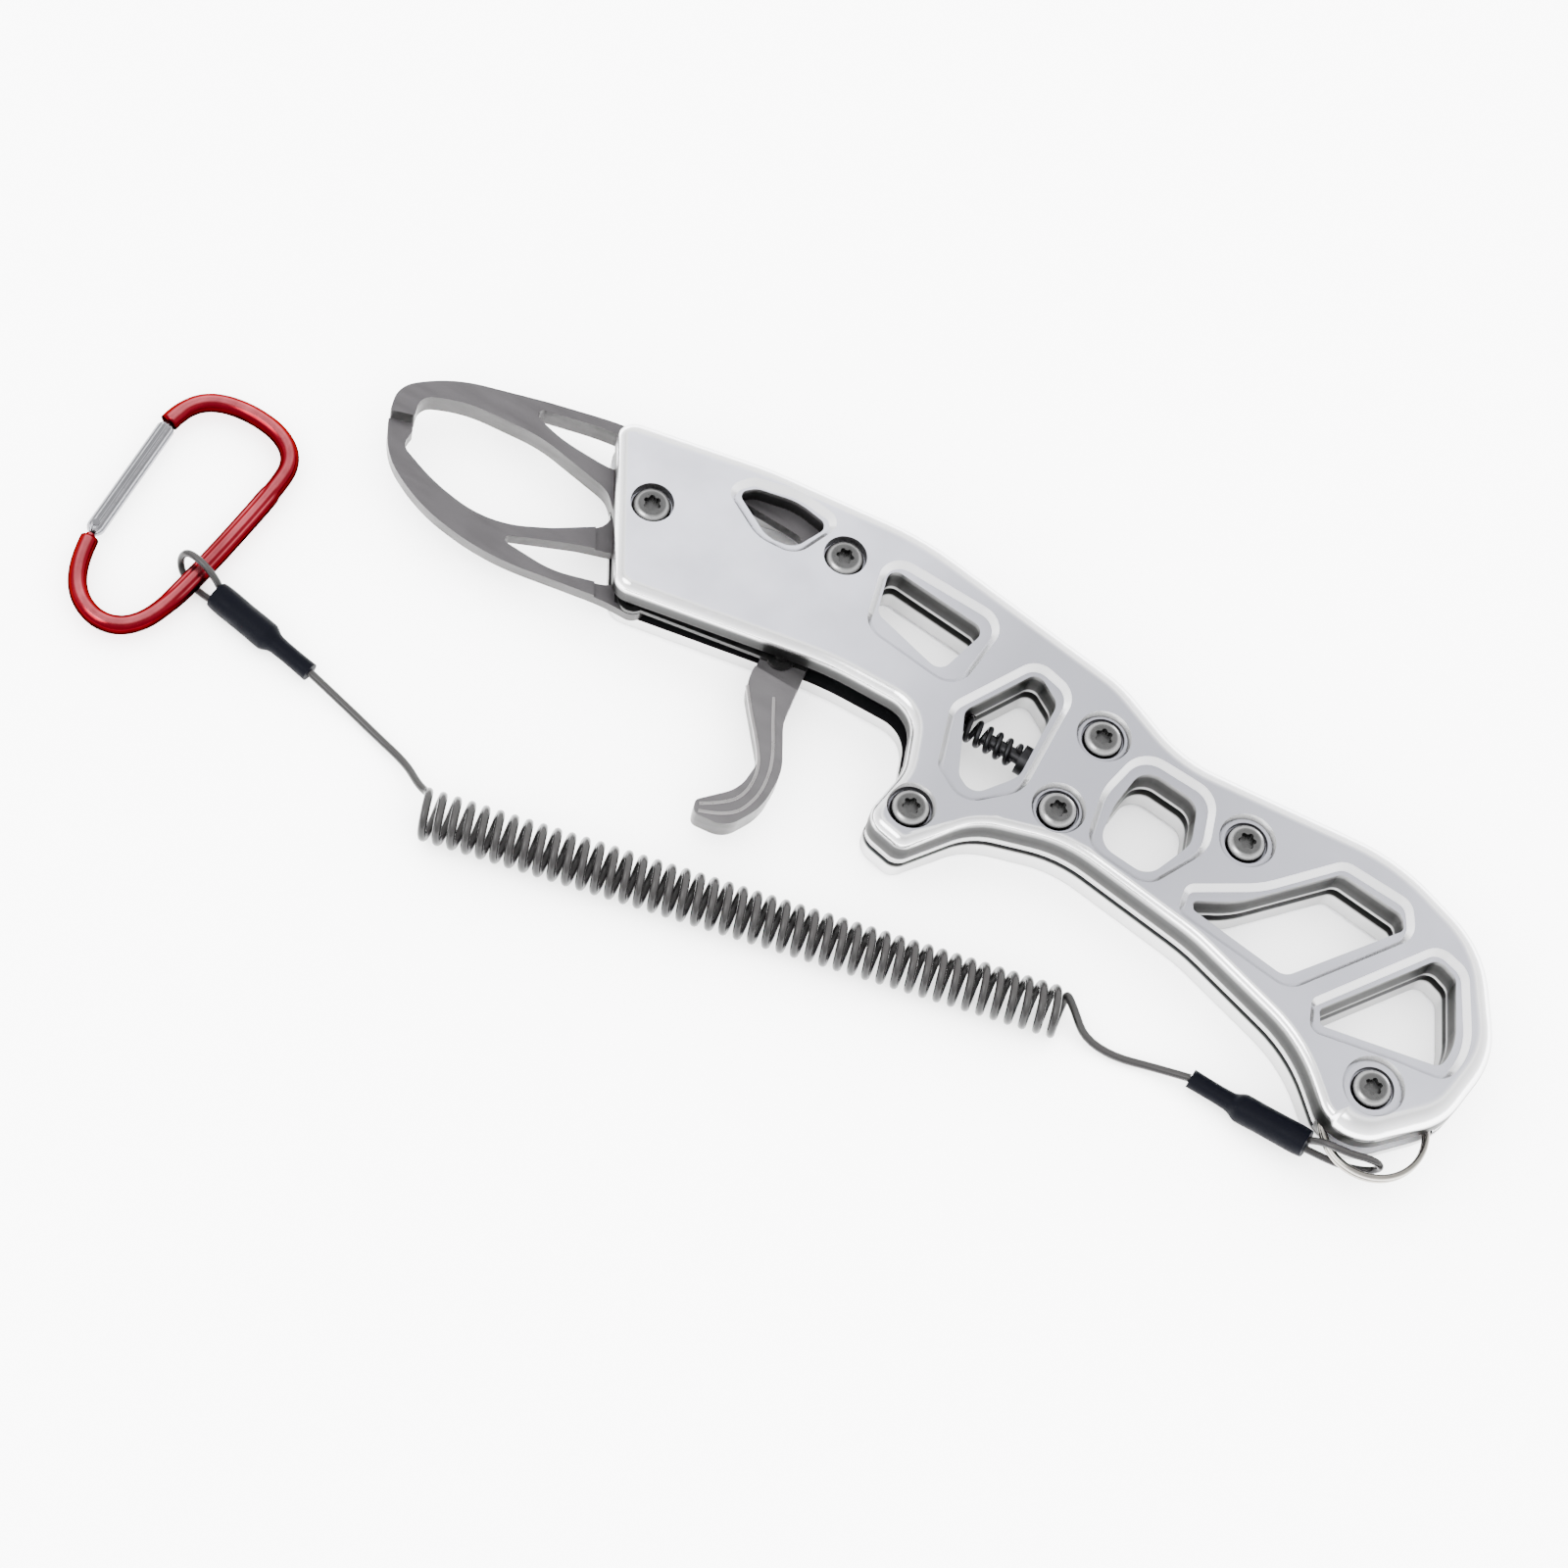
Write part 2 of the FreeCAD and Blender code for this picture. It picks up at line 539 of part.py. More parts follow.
COIL_START = (-70.7, -60.9)
COIL_END = (48.6, -30.1)
FRONT_LEAD = [(-71.8, -56.7, 4.6), (-74.6, -55.6, 3.5), (-78.8, -52.6, 1.9), (-86.6, -50.4, 1.0),
              (-95.2, -48.4, 1.5), (-103.5, -47.0, 2.9)]
REAR_LEAD = [(47.5, -25.9, 4.6), (50.2, -27.6, 3.4), (54.0, -30.6, 1.9), (60.4, -30.6, 1.0),
             (67.6, -28.5, 1.5), (74.6, -27.2, 2.9)]
FRONT_SLEEVE = [(-103.5, -47.0, 2.9), (-112.5, -45.4, 2.9), (-126.6, -43.0, 2.9)]
REAR_SLEEVE = [(74.6, -27.2, 2.9), (83.6, -27.5, 3.3), (98.6, -28.6, 6.6)]
# Each eye leaves its sleeve, goes round what it holds and comes back beside itself.
FRONT_EYE = [(-126.6, -42.0, 4.3), (-128.6, -41.4, 7.0), (-134.6, -40.0, 7.0), (-136.4, -40.4, 3.6),
             (-134.8, -42.0, 0.85), (-129.8, -43.6, 0.8), (-126.8, -44.0, 1.8)]
REAR_EYE = [(98.6, -28.4, 8.0), (100.6, -28.3, 10.4), (105.6, -28.0, 10.8), (110.6, -26.2, 10.2),
            (112.6, -25.6, 7.6), (110.6, -26.4, 4.9), (105.2, -28.2, 4.6), (98.6, -28.9, 5.2)]

# The carabiner's wire, from the gate's hinge round the closed end and the spine to the nose.
CLIP_FRAME = [(-152.3, -46.6), (-151.4, -51.5), (-147.8, -57.6), (-142.0, -60.2), (-136.6, -58.6),
              (-133.0, -52.5), (-131.2, -38.0), (-129.7, -18.0), (-130.2, -11.2), (-135.0, -7.4),
              (-142.7, -6.6), (-149.8, -8.4), (-153.6, -13.0), (-154.1, -17.3)]
GATE_HINGE = (-152.7, -43.8)
GATE_END = (-153.9, -17.9)


def cord_path(points, name):
    """Straight runs joined by tangent arcs, each as large as its two runs allow."""
    points = [spot(*point) for point in points]
    edges = []
    start = points[0]
    radii = []
    for before, here, after in zip(points, points[1:], points[2:]):
        back = (before - here)
        ahead = (after - here)
        shorter = min(back.Length, ahead.Length)
        turn = math.pi - back.getAngle(ahead)
        radius = 0.45 * shorter / math.tan(turn / 2)
        radii.append(round(radius, 1))
        back.normalize()
        ahead.normalize()
        reach = 0.45 * shorter
        middle = (back + ahead).normalize()
        crown = here + middle * (radius / math.cos(turn / 2) - radius)
        edges.append(Part.LineSegment(start, here + back * reach).toShape())
        edges.append(Part.Arc(here + back * reach, crown, here + ahead * reach).toShape())
        start = here + ahead * reach
    edges.append(Part.LineSegment(start, points[-1]).toShape())
    path = Part.Wire(edges)
    print(name, "length", round(path.Length, 1), "radii", radii)
    return path


def tube(name, points, width):
    path = cord_path(points, name)
    first = path.Edges[0]
    heading = first.tangentAt(first.FirstParameter)
    section = Part.Wire([Part.Circle(first.valueAt(first.FirstParameter), heading, width / 2).toShape()])
    pipe = path.makePipeShell([section], True, True)
    expected = math.pi * (width / 2) ** 2 * path.Length
    assert abs(pipe.Volume - expected) < 0.02 * expected, f"{name}: volume {pipe.Volume}, expected {expected}"
    solid = doc.addObject("Part::Feature", name)
    solid.Shape = pipe
    return solid


def between(name, start, end, radius_start, radius_end):
    """A round piece from one point to another, with a radius at each end."""
    start = spot(*start)
    end = spot(*end)
    along = end - start
    shape = "Part::Cylinder" if radius_start == radius_end else "Part::Cone"
    solid = doc.addObject(shape, name)
    solid.Placement = Placement(start, Rotation(Vector(0, 0, 1), along))
    solid.Height = along.Length
    if shape == "Part::Cylinder":
        solid.Radius = radius_start
    else:
        solid.Radius1 = radius_start
        solid.Radius2 = radius_end
    return solid


def sleeve(name, points):
    """Heat-shrink in two layers: a thin end on the cord and a thick end over the crimp."""
    thin = size("sleeve_thin")
    thick = size("sleeve_thick")
    parts = [between(name + "_thin", points[0], points[1], thin, thin),
             between(name + "_thick", points[1], points[2], thick, thick)]
    return fuse(name, parts)


def lanyard():
    coil = between("lanyard_coil_solid", (*COIL_START, size("coil_radius")), (*COIL_END, size("coil_radius")),
                   size("coil_radius"), size("coil_radius"))
    finish(coil, "lanyard_coil")
    width = size("cord_width")
    eye_width = size("eye_width")
    finish(tube("front_lead_solid", FRONT_LEAD, width), "front_lead")
    finish(tube("rear_lead_solid", REAR_LEAD, width), "rear_lead")
    finish(sleeve("front_sleeve_solid", FRONT_SLEEVE), "front_sleeve")
    finish(sleeve("rear_sleeve_solid", REAR_SLEEVE), "rear_sleeve")
    finish(tube("front_eye_solid", FRONT_EYE, eye_width), "front_eye")
    finish(tube("rear_eye_solid", REAR_EYE, eye_width), "rear_eye")


def carabiner():
    """A wire frame closed by a sprung gate, which turns about a rivet through the frame's tongue."""
    height = size("clip_height")
    wire = tube("clip_wire_tube", [(x, y, height) for x, y in CLIP_FRAME], 2 * size("clip_wire"))
    tongue = plate("clip_tongue", [rounded([(-154.0, -47.4, 0.4), (-151.2, -47.4, 0.4), (-151.2, -42.4, 1.2),
                                            (-154.0, -42.4, 1.2)])],
                   "Sizes.clip_height - Sizes.tongue / 2", "Sizes.tongue")
    rivet_hole = cylinder("tongue_hole", GATE_HINGE, "0", "Sizes.rivet_radius", "2 * Sizes.clip_height")
    finish(cut("carabiner_frame_solid", fuse("clip_blank", [wire, tongue]), [rivet_hole]), "carabiner_frame")

    along = Vector(*GATE_END, 0) - Vector(*GATE_HINGE, 0)
    foot = Vector(*GATE_HINGE, 0) - along.normalize() * 1.4
    radius = size("gate_radius")
    bar = between("gate_bar", (foot.x, foot.y, height), (*GATE_END, height), radius, radius)
    slot = plate("gate_slot_cutter", [rounded([(-156.0, -47.0, 0.0), (-149.0, -47.0, 0.0),
                                               (-149.0, -41.2, 0.0), (-156.0, -41.2, 0.0)])],
                 "Sizes.clip_height - Sizes.gate_slot / 2", "Sizes.gate_slot")
    bore = cylinder("gate_bore", GATE_HINGE, "0", "Sizes.rivet_radius + Sizes.running_fit",
                    "2 * Sizes.clip_height")
    finish(cut("gate_solid", cut("gate_slotted", bar, [slot]), [bore]), "carabiner_gate")
    rivet = cylinder("gate_rivet_solid", GATE_HINGE, "Sizes.clip_height - Sizes.gate_radius - 0.2",
                     "Sizes.rivet_radius", "2 * Sizes.gate_radius + 0.4")
    finish(rivet, "gate_rivet")


# ---------------------------------------------------------------- assembly

front = finish(front_shell(), "front_shell")
finish(back_shell(front), "back_shell")
finish(upper_jaw(), "upper_jaw")
finish(lower_jaw(), "lower_jaw")
finish(trigger(), "trigger")
finish(link_bar(), "link_bar")
finish(post("jaw_post_solid", JAW_PIVOT), "jaw_pivot_post")
finish(post("trigger_post_solid", TRIGGER_PIVOT), "trigger_pivot_post")
frame_posts = [post(f"frame_post_{i}", centre) for i, (centre, _) in enumerate(FRAME_SCREWS)]
finish(group("frame_post_set", frame_posts), "frame_posts")
finish(link_pin("jaw_pin_solid", JAW_PIN), "jaw_link_pin")
finish(link_pin("trigger_pin_solid", TRIGGER_PIN), "trigger_link_pin")
screw_master = screw_body()
finish(screws("front_screw", 1), "front_screws")
finish(screws("back_screw", -1), "back_screws")
finish(push_rod(), "push_rod")
finish(spring_seat(), "spring_seat")
finish(return_spring(), "return_spring")
finish(split_ring(), "split_ring")
lanyard()
carabiner()
doc.recompute()

for thing in doc.Objects:
    assert "Invalid" not in thing.State and "Error" not in thing.State, f"{thing.Name}: {thing.State}"
os.makedirs("parts", exist_ok=True)
for thing in finished:
    shape = thing.Shape
    assert not shape.isNull() and shape.isValid(), f"{thing.Label} has no valid shape"
    shape.exportStep(f"parts/{thing.Label}.step")
    box = shape.BoundBox
    print(f"{thing.Label:20s} solids {len(shape.Solids)} volume {shape.Volume:9.1f} "
          f"x {box.XMin:7.1f}..{box.XMax:7.1f} y {box.YMin:6.1f}..{box.YMax:6.1f} "
          f"z {box.ZMin:5.2f}..{box.ZMax:5.2f}")
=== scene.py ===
import math

import bpy
from mathutils import Matrix, Vector


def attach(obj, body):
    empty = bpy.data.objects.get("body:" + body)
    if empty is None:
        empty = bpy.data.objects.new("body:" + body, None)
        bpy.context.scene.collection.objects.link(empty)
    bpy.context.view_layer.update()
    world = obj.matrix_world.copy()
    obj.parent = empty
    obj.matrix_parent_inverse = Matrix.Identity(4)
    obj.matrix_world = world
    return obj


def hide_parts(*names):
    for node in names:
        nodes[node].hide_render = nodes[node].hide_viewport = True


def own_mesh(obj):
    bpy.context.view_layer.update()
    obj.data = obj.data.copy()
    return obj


# Fish lip grip with a coiled lanyard: its finishes, fine pieces, light and camera.
# Lengths below are in millimetres in the drawing's frame, as in the part's source.

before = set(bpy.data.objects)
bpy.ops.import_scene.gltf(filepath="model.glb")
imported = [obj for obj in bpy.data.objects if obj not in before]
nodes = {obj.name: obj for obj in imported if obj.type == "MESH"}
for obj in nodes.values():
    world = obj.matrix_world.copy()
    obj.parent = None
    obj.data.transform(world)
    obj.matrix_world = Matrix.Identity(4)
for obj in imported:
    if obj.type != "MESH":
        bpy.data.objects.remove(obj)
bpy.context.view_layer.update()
scene = bpy.context.scene

MM = 0.001
# From the drawing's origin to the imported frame's origin.
SHIFT = Vector((-0.55, -0.5, 0.0))
# The height of the plane between the two shells.
MID_PLANE = 7.8


def spot(x, y, z=0.0):
    """A point of the drawing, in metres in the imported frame."""
    return (Vector((x, y, z)) + SHIFT) * MM


# ---------------------------------------------------------------- camera

CAMERA_PLACE = (51.0, -344.6, 655.1)
CAMERA_AIM = (-17.4, -19.8, 8.0)
CAMERA_RIGHT = (0.859, 0.488, 0.154)


def add_camera():
    data = bpy.data.cameras.new("camera")
    data.lens = 90.0
    data.sensor_width = 36.0
    camera = bpy.data.objects.new("camera", data)
    scene.collection.objects.link(camera)
    place = spot(*CAMERA_PLACE)
    back = (place - spot(*CAMERA_AIM)).normalized()
    right = Vector(CAMERA_RIGHT)
    right = (right - right.dot(back) * back).normalized()
    turn = Matrix((right, back.cross(right), back)).transposed().to_4x4()
    camera.matrix_world = Matrix.Translation(place) @ turn
    scene.camera = camera


add_camera()


# ---------------------------------------------------------------- materials


class Finish:
    """A material with one shader, and helpers that drive its sockets with procedural patterns."""

    def __init__(self, name, colour, metallic=0.0, roughness=0.5):
        self.material = bpy.data.materials.new(name)
        self.material.use_nodes = True
        self.tree = self.material.node_tree
        self.shader = self.tree.nodes["Principled BSDF"]
        self.shader.inputs["Base Color"].default_value = (*colour, 1.0)
        self.shader.inputs["Metallic"].default_value = metallic
        self.shader.inputs["Roughness"].default_value = roughness
        self.coordinates = self.tree.nodes.new("ShaderNodeTexCoord")
        self.heights = []

    def set(self, **values):
        for name, value in values.items():
            self.shader.inputs[name.replace("_", " ")].default_value = value

    def link(self, source, target):
        self.tree.links.new(source, target)

    def mapping(self, scale):
        node = self.tree.nodes.new("ShaderNodeMapping")
        node.inputs["Scale"].default_value = scale
        self.link(self.coordinates.outputs["Object"], node.inputs["Vector"])
        return node.outputs["Vector"]

    def noise(self, size, stretch=(1.0, 1.0, 1.0)):
        """Noise whose features are about size millimetres across, drawn out along an axis by stretch."""
        node = self.tree.nodes.new("ShaderNodeTexNoise")
        node.inputs["Scale"].default_value = 1.0
        node.inputs["Detail"].default_value = 3.0
        self.link(self.mapping([1.0 / (size * MM * s) for s in stretch]), node.inputs["Vector"])
        return node.outputs["Fac"]

    def spread(self, source, low, high, start=0.3, end=0.7):
        """Maps a value from start..end to low..high. Noise lies mostly between 0.3 and 0.7."""
        node = self.tree.nodes.new("ShaderNodeMapRange")
        node.inputs["From Min"].default_value = start
        node.inputs["From Max"].default_value = end
        node.inputs["To Min"].default_value = low
        node.inputs["To Max"].default_value = high
        self.link(source, node.inputs["Value"])
        return node.outputs["Result"]

    def rough(self, source, low, high):
        self.link(self.spread(source, low, high), self.shader.inputs["Roughness"])

    def blend_colours(self, factor, first, second):
        node = self.tree.nodes.new("ShaderNodeMix")
        node.data_type = "RGBA"
        self.link(factor, node.inputs["Factor"])
        for socket, colour in ((node.inputs[6], first), (node.inputs[7], second)):
            if isinstance(colour, tuple):
                socket.default_value = (*colour, 1.0)
            else:
                self.link(colour, socket)
        return node.outputs[2]

    def tint(self, source):
        self.link(source, self.shader.inputs["Base Color"])

    def bump(self, source, depth, strength=1.0):
        node = self.tree.nodes.new("ShaderNodeBump")
        node.inputs["Distance"].default_value = depth * MM
        node.inputs["Strength"].default_value = strength
        self.link(source, node.inputs["Height"])
        if self.heights:
            self.link(self.heights[-1].outputs["Normal"], node.inputs["Normal"])
        self.heights.append(node)
        self.link(node.outputs["Normal"], self.shader.inputs["Normal"])

    def math(self, operation, first, second):
        node = self.tree.nodes.new("ShaderNodeMath")
        node.operation = operation
        for socket, value in ((node.inputs[0], first), (node.inputs[1], second)):
            if isinstance(value, float):
                socket.default_value = value
            else:
                self.link(value, socket)
        return node.outputs["Value"]

    def axes(self, kind):
        """The X, Y and Z parts of the object's own coordinates or normal."""
        split = self.tree.nodes.new("ShaderNodeSeparateXYZ")
        self.link(self.coordinates.outputs[kind], split.inputs["Vector"])
        return split.outputs

    def ramp(self, source, *steps):
        """Colours along a value. Each step is a place between 0 and 1 and a grey or a colour."""
        ramp = self.tree.nodes.new("ShaderNodeValToRGB")
        stops = ramp.color_ramp.elements
        for place, _ in steps[1:-1]:
            stops.new(place)
        for stop, (place, colour) in zip(stops, steps):
            stop.position = place
            red_green_blue = colour if isinstance(colour, tuple) else (colour, colour, colour)
            stop.color = (*red_green_blue, 1.0)
        self.link(source, ramp.inputs["Fac"])
        return ramp.outputs["Color"]

    def tilt(self):
        """0 on upright walls and 1 on faces square to Z."""
        return self.math("ABSOLUTE", self.axes("Normal")["Z"], 0.0)

    def by_slope(self, wall, slope, flat):
        """A colour each for upright walls, for slopes and rounded edges, and for faces square to Z."""
        return self.ramp(self.tilt(), (0.1, wall), (0.36, slope), (0.93, slope), (0.99, flat))


# The slot between the shells is painted in shade inside. Each room of it reaches to an X and a Y, within a
# depth.
SLOT_HALF = 2.64
SLOT_ROOMS = [(-22.4, 19.0), (-0.2, 6.6)]
# The shells' lower front corner, and how far their front edge and lower edge lean from it.
SHELL_CORNER = (-63.2, -4.6)
FRONT_EDGE_RUN = 0.562
LOWER_EDGE_RISE = 0.205


def inside_slot(finish):
    """1 in the slot, where shade is painted, and 0 elsewhere."""
    x, y, z = finish.axes("Object")
    depth = finish.math("ABSOLUTE", finish.math("SUBTRACT", z, MID_PLANE * MM), 0.0)
    room = None
    for reach_x, reach_y in SLOT_ROOMS:
        limit = spot(reach_x, reach_y)
        part = finish.math("MULTIPLY", finish.math("LESS_THAN", x, limit.x),
                           finish.math("LESS_THAN", y, limit.y))
        room = part if room is None else finish.math("MAXIMUM", room, part)
    return finish.math("MULTIPLY", room, finish.math("LESS_THAN", depth, SLOT_HALF * MM))


def behind_edges(finish):
    """1 behind the shells' front edge and above their lower edge, and 0 elsewhere."""
    x, y, _ = finish.axes("Object")
    corner = spot(*SHELL_CORNER)
    back = finish.math("ADD", x, finish.math("MULTIPLY", y, FRONT_EDGE_RUN))
    above = finish.math("SUBTRACT", y, finish.math("MULTIPLY", x, LOWER_EDGE_RISE))
    return finish.math(
        "MULTIPLY",
        finish.math("GREATER_THAN", back, corner.x + FRONT_EDGE_RUN * corner.y),
        finish.math("GREATER_THAN", above, corner.y - LOWER_EDGE_RISE * corner.x))


# Painted reflections and shade down the shells' upright walls, at places between the back face and the front
# face: light on the back shell's wall, painted shade in the slot, a painted highlight along the seam, grey on
# the front shell's wall and lighter again at its top.
WALL_LIGHT_AND_SHADE_BANDS = [(0.0, 0.25), (0.06, 0.3), (0.10, 0.6), (0.33, 0.7), (0.36, 0.2), (0.385, 0.012), (0.44, 0.006),
              (0.5, 0.004), (0.512, 0.02), (0.527, 0.6), (0.555, 0.5), (0.585, 0.06), (0.72, 0.038),
              (0.83, 0.055), (0.91, 0.32)]
# Painted reflection on the shells' flat faces: tones at places between two ends along X, brighter towards
# both ends.
FACE_ENDS = (-85.0, 120.0)
FACE_REFLECTION_BANDS = [(0.0, 0.95), (0.25, 0.8), (0.45, 0.42), (0.62, 0.38), (0.8, 0.48), (1.0, 0.6)]
FACE_TINT = (1.0, 1.01, 1.13)
CLOUD_COLOUR = (0.36, 0.365, 0.41)
# Painted highlight on the shells' rounded edges and slopes.
PAINTED_EDGE_HIGHLIGHT = (0.93, 0.93, 0.94)
# Painted light on the back shell's inner faces that face up.
PAINTED_INSIDE_LIGHT = (0.97, 0.97, 0.97)
# Painted shade in the slot, on aluminium and on steel.
SHADED_ALUMINIUM = (0.02, 0.02, 0.022)
SHADED_STEEL = (0.02, 0.02, 0.02)
# A face counts as flat when its normal's Z is above this.
FLAT = 0.6


def shell_aluminium():
    """Satin anodised faces with a painted reflection, a painted highlight on the rounded edges, walls banded
    with painted reflections and shade, painted light on the back shell's inner faces and painted shade in the
    slot.
    """
    finish = Finish("shell_aluminium", (0.5, 0.5, 0.54), 1.0, 0.34)
    finish.set(Specular_Tint=(0.5, 0.5, 0.5, 1.0))
    front, tail = FACE_ENDS
    # The flat faces get a painted reflection, brighter towards both ends along X, under clouds of tone.
    along = finish.spread(finish.axes("Object")["X"], 0.0, 1.0, front * MM, tail * MM)
    clouds = finish.spread(finish.noise(14.0), 0.0, 0.35)
    face_reflection_greys = [(place, tuple(shade * part for part in FACE_TINT)) for place, shade in FACE_REFLECTION_BANDS]
    grey = finish.ramp(along, *face_reflection_greys)
    face = finish.blend_colours(clouds, grey, CLOUD_COLOUR)
    # The upright walls get painted reflections and shade in bands by height.
    height = finish.math("DIVIDE", finish.axes("Object")["Z"], 2 * MID_PLANE * MM)
    wall = finish.ramp(height, *WALL_LIGHT_AND_SHADE_BANDS)
    satin_and_painted_light = finish.blend_colours(finish.math("GREATER_THAN", finish.tilt(), FLAT), wall, face)
    # Slopes and rounded edges get a painted highlight.
    rounded = finish.ramp(finish.tilt(), (0.1, 0.0), (0.36, 0.85), (0.98, 1.0), (0.997, 0.0))
    satin_and_painted_light = finish.blend_colours(rounded, satin_and_painted_light, PAINTED_EDGE_HIGHLIGHT)
    # The back shell's inner faces that face up are painted light.
    low_down = finish.math("LESS_THAN", finish.axes("Object")["Z"], MID_PLANE * MM)
    facing_up = finish.math("GREATER_THAN", finish.axes("Normal")["Z"], FLAT)
    satin_and_painted_light = finish.blend_colours(finish.math("MULTIPLY", low_down, facing_up), satin_and_painted_light, PAINTED_INSIDE_LIGHT)
    # The slot is painted in shade.
    finish.tint(finish.blend_colours(inside_slot(finish), satin_and_painted_light, SHADED_ALUMINIUM))
    finish.link(finish.by_slope(0.3, 0.2, 0.4), finish.shader.inputs["Roughness"])
    finish.bump(finish.noise(0.35), 0.012, 0.6)
    return finish.material


def steel(name, colour, roughness, grain=0.5, depth=0.02):
    """Plain metal with a fine grain, in millimetres."""
    finish = Finish(name, colour, 1.0, roughness)
    finish.rough(finish.noise(3.0), roughness - 0.06, roughness + 0.08)
    finish.bump(finish.noise(grain), depth, 0.6)
    return finish.material


def plate_steel(name, flat, edge, wall):
    """Tumbled steel plate: dull faces, painted shade on the rounded edges, and cut walls painted darker than
    the faces and lighter than the edges.
    """
    finish = Finish(name, flat, 1.0, 0.42)
    clouds = finish.spread(finish.noise(9.0), 0.0, 0.35)
    # Colour by slope is painted shade: dark on the rounded edges, and cut walls darker than the faces; clouds
    # of wear go over it.
    slope_shading = finish.by_slope(wall, edge, flat)
    worn_and_shaded = finish.blend_colours(clouds, slope_shading, tuple(0.7 * part for part in flat))
    # Where a plate runs into the slot behind the shells' edges, it is painted in shade.
    slot_shade = finish.math("MULTIPLY", inside_slot(finish), behind_edges(finish))
    finish.tint(finish.blend_colours(slot_shade, worn_and_shaded, SHADED_STEEL))
    finish.rough(finish.noise(2.0, (6.0, 1.0, 1.0)), 0.34, 0.5)
    finish.bump(finish.noise(0.6), 0.02, 0.5)
    return finish.material


def button_steel():
    """Screws: grey heads with a painted highlight on the rounded rim, and painted shade on upright walls that
    makes the sockets black.
    """
    finish = Finish("screw_steel", (0.2, 0.2, 0.2), 1.0, 0.25)
    # Colour by slope: painted shade on upright walls, painted highlight on the rim.
    finish.tint(finish.ramp(finish.tilt(), (0.1, 0.006), (0.4, 0.03), (0.7, 0.4), (0.9, 0.28), (0.97, 0.105)))
    finish.rough(finish.noise(2.0), 0.22, 0.34)
    finish.bump(finish.noise(0.3), 0.01, 0.5)
    return finish.material


def clear_cord():
    """Steel cord in clear plastic: smoky, with painted shade on its flanks and painted light on its crown."""
    finish = Finish("cord_plastic", (0.03, 0.028, 0.028), 0.0, 0.25)
    # Colour by slope: painted shade on the flanks, painted light on the crown.
    finish.tint(finish.ramp(finish.tilt(), (0.0, 0.001), (0.45, (0.004, 0.0038, 0.0038)),
                            (0.7, (0.0066, 0.0063, 0.0063)), (0.95, (0.014, 0.0134, 0.0134))))
    finish.set(Specular_IOR_Level=0.22)
    finish.bump(finish.noise(1.2), 0.02, 0.4)
    return finish.material


def sleeve_plastic():
    """Heat-shrink tube: dull black, with creases along it."""
    finish = Finish("sleeve_plastic", (0.0006, 0.0008, 0.002), 0.0, 0.5)
    finish.set(Specular_IOR_Level=0.04)
    finish.rough(finish.noise(2.5), 0.42, 0.6)
    finish.bump(finish.noise(2.2, (1.0, 3.0, 1.0)), 0.25, 0.5)
    finish.bump(finish.noise(0.4), 0.02, 0.5)
    return finish.material


def red_anodised():
    """Red anodised wire with a painted highlight on its crown and painted shade on its flanks."""
    finish = Finish("clip_red", (0.28, 0.004, 0.012), 1.0, 0.2)
    clouds = finish.spread(finish.noise(5.0, (1.0, 4.0, 1.0)), 0.0, 0.5)
    finish.set(Specular_Tint=(0.3, 0.03, 0.05, 1.0))
    # Colour by slope: painted highlight on the crown, painted shade on the flanks; dark streaks go over it.
    wire_light_and_shade = finish.ramp(finish.tilt(), (0.0, (0.002, 0.0001, 0.0002)), (0.4, (0.02, 0.0003, 0.001)),
                             (0.7, (0.10, 0.002, 0.006)), (0.9, (0.24, 0.01, 0.02)),
                             (0.975, (0.7, 0.14, 0.17)))
    finish.tint(finish.blend_colours(clouds, wire_light_and_shade, (0.06, 0.001, 0.003)))
    finish.rough(finish.noise(1.5), 0.15, 0.24)
    finish.bump(finish.noise(0.5), 0.01, 0.4)
    return finish.material


MATERIALS = {
    "shell": shell_aluminium(),
    "jaw": plate_steel("jaw_steel", (0.11, 0.105, 0.11), (0.006, 0.006, 0.006), (0.045, 0.044, 0.043)),
    "trigger": plate_steel("trigger_steel", (0.14, 0.135, 0.14), (0.01, 0.01, 0.01), (0.055, 0.054, 0.053)),
    "rib": steel("rib_steel", (0.3, 0.29, 0.29), 0.3),
    # Posts, pins and the link bar are painted dark: painted shade of the slot they sit in.
    "plain": steel("plain_steel", (0.03, 0.03, 0.03), 0.35),
    "screw": button_steel(),
    "spring": steel("spring_steel", (0.03, 0.03, 0.032), 0.35, 0.3, 0.01),
    "ring": steel("ring_steel", (0.30, 0.285, 0.26), 0.2, 0.3, 0.01),
    "cord": clear_cord(),
    "sleeve": sleeve_plastic(),
    "red": red_anodised(),
    "gate": steel("gate_aluminium", (0.22, 0.22, 0.235), 0.2, 0.3, 0.01),
}
CAD_FINISHES = {
    "shell": ["front_shell", "back_shell"],
    "jaw": ["upper_jaw", "lower_jaw"],
    "trigger": ["trigger"],
    "plain": ["link_bar", "jaw_pivot_post", "trigger_pivot_post", "frame_posts", "jaw_link_pin",
              "trigger_link_pin"],
    "screw": ["front_screws", "back_screws"],
    "spring": ["return_spring", "push_rod", "spring_seat"],
    "gate": ["gate_rivet"],
}


def paint(thing, finish):
    if not thing.data.materials:
        thing.data.materials.append(MATERIALS[finish])
    for slot in thing.material_slots:
        slot.material = MATERIALS[finish]


for finish, names in CAD_FINISHES.items():
    for name in names:
        paint(nodes[name], finish)


EDGE_WIDTH = 0.35
EDGE_ANGLE = 50


